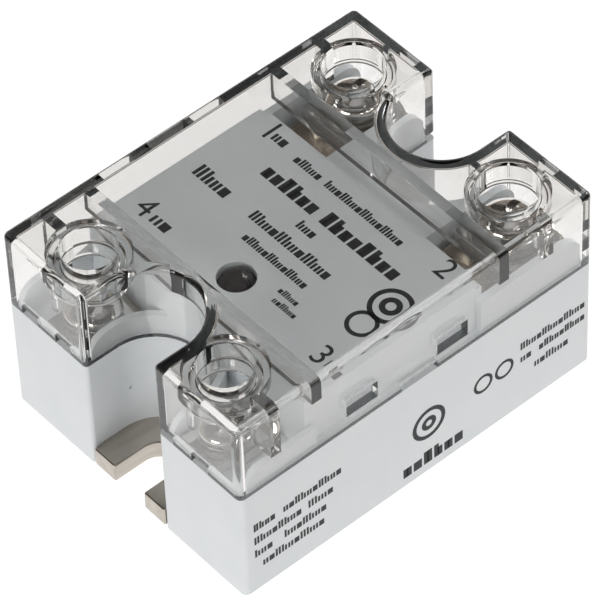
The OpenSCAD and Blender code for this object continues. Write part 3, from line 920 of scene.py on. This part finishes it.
@dataclass
class Housing:
    """The white moulding and the metal plate that closes it from below."""

    env: Envelope
    edge: float = 0.22
    plate_edge: float = 0.45
    mark_depth: float = 0.1
    ejector_r: float = 1.9
    ejector_at: tuple[float, float, float] = (14.45, 5.4, 23.8)
    gate_r: float = 0.3
    gate_at: tuple[float, float] = (-22.7, 9.8)

    def ejector_mark(self) -> Solid:
        """Cutter for the shallow round ejector mark on the ledge between the bays."""
        x, y, z = self.ejector_at
        return Solid.disc((x, y), self.ejector_r, z - self.mark_depth, z + 1, 40)

    def gate_mark(self) -> Solid:
        """Cutter for the small gate dot in the input notch's wall."""
        dot = Solid.disc(self.gate_at, self.gate_r, 0, 1, 16)
        return dot.stood_up(self.env.notch_r + self.mark_depth)

    def moulding(self) -> bpy.types.Object:
        """The housing, with rounded edges and its two mould marks."""
        solid = Solid.from_node("housing").cut(self.ejector_mark(), self.gate_mark())
        place = Place("base", ("housing",))
        return finish_piece(
            solid, "housing_moulding", place, WHITE_MOULDING,
            Edges(bevel=self.edge, steps=3, split=True),
        )

    def plate(self) -> bpy.types.Object:
        """The base plate, with the rounded edges of a stamping."""
        solid = Solid.from_node("base_plate")
        place = Place("base", ("base_plate",))
        return finish_piece(
            solid, "mounting_plate", place, NICKEL_PLATE, Edges(bevel=self.plate_edge, steps=3)
        )

    def build(self) -> None:
        """Builds both pieces."""
        self.moulding()
        self.plate()


# ---- Terminals --------------------------------------------------------------


@dataclass
class TerminalScrew:
    """A pan head screw with a cross and slot recess and a cut thread."""

    terminal: Terminal
    rim_share: float = 0.4
    rim_r: float = 0.21
    seat_r: float = 0.15
    dome_share: float = 0.96
    recess_w: float = 0.28
    recess_l: float = 1.25
    recess_depth: float = 0.45
    thread_depth: float = 0.3
    ridge_slope: float = 2.4
    tip: float = 0.5
    sides: int = 48
    rows_per_turn: int = 8

    def head(self) -> Solid:
        """The head, turned from its profile and recessed."""
        t = self.terminal
        rim_z = t.seat_z + t.head_h * self.rim_share
        dome_h = t.head_h * (1 - self.rim_share)
        dome_r = (t.head_r**2 + dome_h**2) / (2 * dome_h)
        lean = math.degrees(math.asin(t.head_r / dome_r))
        top = t.seat_z + t.head_h
        dome = arc(0, top - dome_r, dome_r, 90 - lean * self.dome_share, 90, 12)
        profile = [
            (0, t.seat_z), (t.head_r - self.seat_r, t.seat_z),
            (t.head_r, t.seat_z + self.seat_r), (t.head_r, rim_z - self.rim_r),
            *dome[:-1], (0, top),
        ]
        solid = Solid.lathe(profile, t.centre)
        width, length = t.head_r * self.recess_w, t.head_r * self.recess_l
        depth = t.head_h * self.recess_depth
        for turn, reach, deep in (
            (t.turn, length, depth), (t.turn + 90, length, depth),
            (t.turn, 3 * t.head_r, depth / 2),
        ):
            cx, cy = t.centre
            bar = Solid.box(
                (cx - reach / 2, cy - width / 2, top - deep),
                (cx + reach / 2, cy + width / 2, top + 1),
            )
            solid.cut(bar.turned(turn, t.centre))
        return solid

    def shank(self) -> Solid:
        """The threaded shank: a helix of ridges with a blunt tip."""
        t = self.terminal
        cx, cy = t.centre
        low, high = t.seat_z - t.shank_l, t.seat_z + 0.2
        rows = round((high - low) / t.pitch * self.rows_per_turn)
        rings = []
        for k in range(rows + 1):
            z = low + (high - low) * k / rows
            ring = []
            for i in range(self.sides):
                phase = (z / t.pitch - i / self.sides) % 1
                ridge = max(0.0, 1 - abs(phase - 0.5) * self.ridge_slope)
                r = t.thread_r - self.thread_depth * (1 - ridge)
                r = min(r, t.thread_r - self.tip + (z - low))
                a = 2 * math.pi * i / self.sides
                ring.append((cx + r * math.cos(a), cy + r * math.sin(a), z))
            rings.append(ring)
        return Solid.loft(rings)

    def build(self) -> bpy.types.Object:
        """Builds the screw and puts it on its body."""
        t = self.terminal
        solid = self.head().add(self.shank())
        place = Place(f"screw_{t.number}", (f"screw_{t.number}",))
        return finish_piece(
            solid, f"terminal_screw_{t.number}", place, PLATED_STEEL,
            Edges(bevel=0.06, bevel_angle=50),
        )


@dataclass
class TerminalStack:
    """The clamp, washer, screw and conductor of one terminal."""

    terminal: Terminal

    def build(self) -> None:
        """Builds the pieces of the stack."""
        t = self.terminal
        n = t.number
        strip = f"busbar_{n}" if t.is_output else f"input_strip_{n}"
        for node, label, body, finish, edges in (
            (f"clamp_{n}", "saddle_clamp", f"clamp_{n}", PLATED_STEEL, Edges(bevel=0.2, steps=3)),
            (f"washer_{n}", "lock_washer", f"clamp_{n}", SPRING_STEEL, Edges(bevel=0.1)),
            (strip, "conductor", "base", PLATED_COPPER, Edges()),
        ):
            finish_piece(
                Solid.from_node(node), f"{label}_{n}", Place(body, (node,)), finish, edges
            )
        TerminalScrew(t).build()


# ---- Status lamp ------------------------------------------------------------


@dataclass
class StatusLamp:
    """The dark domed lamp in the plateau, with its flange and leads."""

    centre: Point = (-10.2, 0.0)
    lens_r: float = 2.5
    flange_r: float = 2.9
    flange_h: float = 1.0
    flange_edge: float = 0.1
    base_z: float = 19.5
    top_z: float = 26.6
    lead_low_z: float = 13.6
    lead_y: float = 1.27
    lead_hw: float = 0.25

    def build(self) -> bpy.types.Object:
        """Builds the lamp and puts it on the base."""
        dome_z = self.top_z - self.lens_r
        dome = arc(0, dome_z, self.lens_r, 0, 90, 14)
        low, high, edge = self.base_z, self.base_z + self.flange_h, self.flange_edge
        profile = [
            (0, low), (self.flange_r - edge, low),
            (self.flange_r, low + edge), (self.flange_r, high - edge),
            (self.flange_r - edge, high), (self.lens_r, high),
            *dome[:-1], (0, self.top_z),
        ]
        solid = Solid.lathe(profile, self.centre)
        x, hw = self.centre[0], self.lead_hw
        for y in (-self.lead_y, self.lead_y):
            solid.add(
                Solid.box((x - hw, y - hw, self.lead_low_z), (x + hw, y + hw, low + 0.2))
            )
        place = Place("base", ("status_lamp",))
        return finish_piece(solid, "lamp", place, LAMP_LENS, Edges(bevel=0.05))


# ---- Printing ---------------------------------------------------------------


@dataclass(frozen=True)
class Row:
    """One row of neutral strokes: where it runs, its height and its stretches."""

    at: float
    height: float
    spans: tuple[tuple[float, float], ...]


@dataclass
class Printing:
    """Generic print: terminal numbers, rows of neutral strokes and plain rings."""

    env: Envelope
    plateau_z: float = 26.0
    film: float = 0.02
    numeral_h: float = 3.3
    numeral_share: float = 0.7
    stroke: float = 0.24
    bold_stroke: float = 0.34
    bold_from: float = 2.2
    cell: float = 0.72
    cell_fill: float = 0.8
    low_share: float = 0.4
    shape_step: int = 3
    ring_sides: int = 48

    def numerals(self) -> bpy.types.Object:
        """The four terminal numbers, read from the input end."""
        places = {1: (7.9, 17.2), 2: (8.2, -15.4), 3: (-12.4, -15.6), 4: (-12.4, 17.8)}
        solids: list[Solid] = []
        for number, (x, y) in places.items():
            curve = bpy.data.curves.new("numeral", "FONT")
            curve.body = str(number)
            curve.size = self.numeral_h / self.numeral_share
            curve.extrude = self.film / 2
            text = bpy.data.objects.new("numeral", curve)
            bpy.context.scene.collection.objects.link(text)
            graph = bpy.context.evaluated_depsgraph_get()
            mesh = bpy.data.meshes.new_from_object(text.evaluated_get(graph))
            bpy.data.objects.remove(text)
            mesh.transform(
                Matrix.Translation((x, y, self.plateau_z + self.film / 2))
                @ Matrix.Rotation(-math.pi / 2, 4, "Z")
            )
            solid = Solid([], [])
            solid.obj.data = mesh
            solids.append(solid)
        return self.sheet(solids, "terminal_numbers")

    def strokes(self, length: float, height: float) -> list[tuple[float, float, float, float]]:
        """Neutral upright strokes in a row of equal cells, like a bar pattern.

        Args:
            length: Length of the row.
            height: Height of the row.

        Returns:
            (u0, v0, u1, v1) of each stroke: u along the row from 0, v across it
            from -height / 2.
        """
        pitch = self.cell * height
        count = max(1, round(length / pitch))
        wide = length / count * self.cell_fill
        pen = (self.bold_stroke if height > self.bold_from else self.stroke) * height
        half = height / 2
        low = half * self.low_share
        near, far = (0.0, pen), (wide - pen, wide)
        shapes = (
            ((near, half), (far, half)), (((0.0, wide), low),),
            ((near, low), (far, low)), ((near, half), (far, low)),
        )
        marks = []
        for i in range(count):
            u = length * i / count
            for (u0, u1), top in shapes[(i * self.shape_step + count) % len(shapes)]:
                marks.append((u + u0, -half, u + u1, top))
        return marks

    def row_top(self, x: float, y0: float, y1: float, height: float) -> list[Solid]:
        """A row of strokes on the plateau that runs from y0 down to y1, centred at x."""
        z = self.plateau_z
        return [
            Solid.box((x + v0, y0 - u1, z), (x + v1, y0 - u0, z + self.film))
            for u0, v0, u1, v1 in self.strokes(y0 - y1, height)
        ]

    def row_side(self, x0: float, x1: float, z: float, height: float) -> list[Solid]:
        """A row of strokes on the near long side from x0 to x1, centred at height z."""
        y = -self.env.side_y
        return [
            Solid.box((x0 + u0, y - self.film, z + v0), (x0 + u1, y, z + v1))
            for u0, v0, u1, v1 in self.strokes(x1 - x0, height)
        ]

    def ring(self, centre: Point, outer_r: float, inner_r: float, z: float) -> Solid:
        """A flat ring, one film thick, that lies at height z."""
        disc = Solid.disc(centre, outer_r, z, z + self.film, self.ring_sides)
        return disc.cut(Solid.disc(centre, inner_r, z - 1, z + 1, self.ring_sides))

    def sheet(self, solids: Sequence[Solid], name: str) -> bpy.types.Object:
        """Joins separate marks into one printed piece.

        Args:
            solids: The marks, which don't touch.
            name: Name of the piece.

        Returns:
            The piece.
        """
        bm = bmesh.new()
        for solid in solids:
            bm.from_mesh(solid.obj.data)
            bpy.data.objects.remove(solid.obj)
        joined = Solid([], [])
        bm.to_mesh(joined.obj.data)
        bm.free()
        return finish_piece(joined, name, Place("base", slot="white_moulding"), PRINT_INK, None)

    def plateau_marks(self) -> bpy.types.Object:
        """Rows of neutral strokes and plain rings on the plateau."""
        rows = (
            Row(8.6, 1.35, ((10.3, 5.4), (4.4, -9.9))),
            Row(4.6, 2.4, ((11.4, 1.4), (0.2, -13.8))),
            Row(1.5, 1.5, ((1.6, -1.6),)),
            Row(-1.7, 1.7, ((6.8, -8.0),)),
            Row(-4.9, 1.3, ((4.6, -7.2),)),
            Row(-7.6, 0.95, ((-5.2, -8.7),)),
            Row(-9.2, 0.95, ((-5.9, -10.1),)),
            Row(-1.7, 2.2, ((17.4, 11.0),)),
            Row(9.3, 1.8, ((15.2, 12.6),)),
            Row(-11.1, 2.0, ((14.8, 11.4), (-18.6, -20.0))),
        )
        marks = [
            mark
            for row in rows
            for y0, y1 in row.spans
            for mark in self.row_top(row.at, y0, y1, row.height)
        ]
        rings = (((-3.9, -16.3), 2.2, 1.6), ((0.6, -16.6), 3.0, 2.3), ((0.6, -16.6), 1.5, 0.7))
        marks += [self.ring(*ring, self.plateau_z) for ring in rings]
        return self.sheet(marks, "plateau_print")

    def side_marks(self) -> bpy.types.Object:
        """Rows of neutral strokes and plain rings on the near long side."""
        rows = (
            Row(11.8, 1.35, ((-27.4, -23.8), (-22.6, -13.0))),
            Row(9.3, 1.35, ((-27.4, -19.6), (-18.6, -14.4))),
            Row(6.9, 1.35, ((-27.4, -24.4), (-22.6, -15.6))),
            Row(4.5, 1.35, ((-26.2, -16.0),)),
            Row(2.7, 2.3, ((-3.0, 7.4),)),
            Row(11.3, 1.3, ((17.0, 28.2),)),
            Row(9.0, 1.3, ((17.0, 19.0), (20.2, 28.2))),
            Row(6.4, 1.3, ((19.4, 25.4),)),
        )
        marks = [
            mark
            for row in rows
            for x0, x1 in row.spans
            for mark in self.row_side(x0, x1, row.at, row.height)
        ]
        rings = (
            ((1.4, 9.0), 2.75, 2.1), ((1.4, 9.0), 1.2, 0.5),
            ((10.6, 9.3), 1.6, 1.15), ((14.2, 9.3), 1.6, 1.15),
        )
        marks += [self.ring(*ring, 0).stood_up(-self.env.side_y) for ring in rings]
        return self.sheet(marks, "side_print")

    def build(self) -> None:
        """Builds all printed pieces."""
        self.numerals()
        self.plateau_marks()
        self.side_marks()


# ---- Sealed inner parts -----------------------------------------------------


@dataclass
class SealedParts:
    """The power and driver circuits, shown by their CAD nodes."""

    edges: Edges = Edges(bevel=0.06)

    def build(self) -> None:
        """Dresses every node that no piece stands for."""
        slots = {p["node"]: p["material_slot"] for p in frame["record"]["subparts"]}
        for name, node in frame["nodes"].items():
            if node.hide_render:
                continue
            finish = SLOT_FINISHES[slots[name]]
            node.data.materials.clear()
            node.data.materials.append(finish.material())
            weld = node.modifiers.new("weld", "WELD")
            weld.merge_threshold = NODE_WELD * MM
            round_edges(node, self.edges)
            log.info("dressed %s as %s", name, finish.name)


# ---- Studio -----------------------------------------------------------------


@dataclass
class Studio:
    """A pale floor, soft lights and the camera."""

    azimuth: float = -39.17
    elevation: float = 48.03
    distance: float = 0.6158
    roll: float = -2.583
    target: tuple[float, float, float] = (-0.00031, -0.000095, 0.015)
    lens: float = 292.4
    sensor: float = 36.0
    light_aim: tuple[float, float, float] = (0, 0, 0.015)
    floor_z: float = -0.00005
    floor_size: float = 0.5
    floor_glow: float = 0.94
    horizon: Colour = (0.27, 0.235, 0.205)
    dim_sky: Colour = (0.055, 0.052, 0.05)
    zenith: Colour = (0.48, 0.48, 0.49)
    horizon_stop: float = 0.4
    dim_stops: tuple[float, float] = (0.58, 0.84)
    zenith_stop: float = 0.97

    def back(self) -> Vector:
        """The direction from the target to the camera."""
        a, e = math.radians(self.azimuth), math.radians(self.elevation)
        return Vector((math.sin(a) * math.cos(e), -math.cos(a) * math.cos(e), math.sin(e)))

    def camera(self) -> bpy.types.Object:
        """Makes the camera and sets it as the scene's."""
        a, r = math.radians(self.azimuth), math.radians(self.roll)
        back = self.back()
        right = Vector((math.cos(a), math.sin(a), 0))
        up = back.cross(right)
        side = right * math.cos(r) + up * math.sin(r)
        above = up * math.cos(r) - right * math.sin(r)
        data = bpy.data.cameras.new("camera")
        data.lens = self.lens
        data.sensor_width = self.sensor
        data.clip_start = 0.01
        cam = bpy.data.objects.new("camera", data)
        turn = Matrix((side, above, back)).transposed().to_4x4()
        cam.matrix_world = Matrix.Translation(Vector(self.target) + back * self.distance) @ turn
        bpy.context.scene.collection.objects.link(cam)
        bpy.context.scene.camera = cam
        return cam

    def floor(self) -> bpy.types.Object:
        """The floor, pale and evenly lit."""
        h, z = self.floor_size / 2, self.floor_z
        mesh = bpy.data.meshes.new("floor")
        mesh.from_pydata([(-h, -h, z), (h, -h, z), (h, h, z), (-h, h, z)], [], [(0, 1, 2, 3)])
        floor = bpy.data.objects.new("floor", mesh)
        bpy.context.scene.collection.objects.link(floor)
        nodes = Nodes("floor_paper")
        shader = nodes.surface(
            Base_Color=(0.3, 0.3, 0.3, 1), Roughness=0.9, Specular_IOR_Level=0.2,
            Emission_Color=(1, 1, 1, 1), Emission_Strength=self.floor_glow,
        )
        nodes.link(nodes.bump(nodes.noise(3.0, 2), 0.01), shader.inputs["Normal"])
        mesh.materials.append(nodes.mat)
        return floor

    def light(self, name: str, place: Sequence[float], size: Point, power: float) -> None:
        """A soft rectangular light aimed at the object.

        Args:
            name: Name of the light.
            place: Its place in metres.
            size: Its width and height in metres.
            power: Its power in watts.
        """
        data = bpy.data.lights.new(name, "AREA")
        data.shape = "RECTANGLE"
        data.size, data.size_y = size
        data.energy = power
        lamp = bpy.data.objects.new(name, data)
        aim = Vector(self.light_aim) - Vector(place)
        lamp.location = place
        lamp.rotation_euler = aim.to_track_quat("-Z", "Y").to_euler()
        bpy.context.scene.collection.objects.link(lamp)

    def world(self) -> None:
        """A dim band at half height, between a warm horizon and a soft overhead light."""
        world = bpy.data.worlds.new("studio")
        bpy.context.scene.world = world
        world.use_nodes = True
        tree = world.node_tree
        tree.nodes.clear()
        out = tree.nodes.new("ShaderNodeOutputWorld")
        sky = tree.nodes.new("ShaderNodeBackground")
        coords = tree.nodes.new("ShaderNodeTexCoord")
        split = tree.nodes.new("ShaderNodeSeparateXYZ")
        ramp = tree.nodes.new("ShaderNodeValToRGB")
        stops = ramp.color_ramp.elements
        stops[0].position, stops[0].color = self.horizon_stop, (*self.horizon, 1)
        stops[1].position, stops[1].color = self.zenith_stop, (*self.zenith, 1)
        for position in self.dim_stops:
            stops.new(position).color = (*self.dim_sky, 1)
        tree.links.new(coords.outputs["Generated"], split.inputs[0])
        tree.links.new(split.outputs["Z"], ramp.inputs["Fac"])
        tree.links.new(ramp.outputs["Color"], sky.inputs["Color"])
        sky.inputs["Strength"].default_value = 1.0
        tree.links.new(sky.outputs["Background"], out.inputs["Surface"])

    def build(self) -> None:
        """Sets up the whole studio."""
        self.camera()
        self.floor()
        self.world()
        bpy.context.scene.view_settings.view_transform = "Standard"
        self.light("left_softbox", (-0.95, -0.25, 0.42), (0.5, 0.3), 3.9)
        self.light("right_softbox", (0.25, -0.95, 0.42), (0.5, 0.3), 1.55)
        self.light("back_softbox", (0.85, 0.05, 0.6), (0.25, 0.25), 3.0)
        log.info("studio ready")


def main() -> None:
    """Builds the relay's pieces in order, then the studio around them."""
    logging.basicConfig(level=logging.INFO, format="%(name)s: %(message)s")
    env = Envelope.from_frame()
    Studio().build()
    TouchGuard(env).build()
    Housing(env).build()
    for terminal in TERMINALS:
        TerminalStack(terminal).build()
    StatusLamp().build()
    Printing(env).build()
    SealedParts().build()


if __name__ == "__main__":
    main()
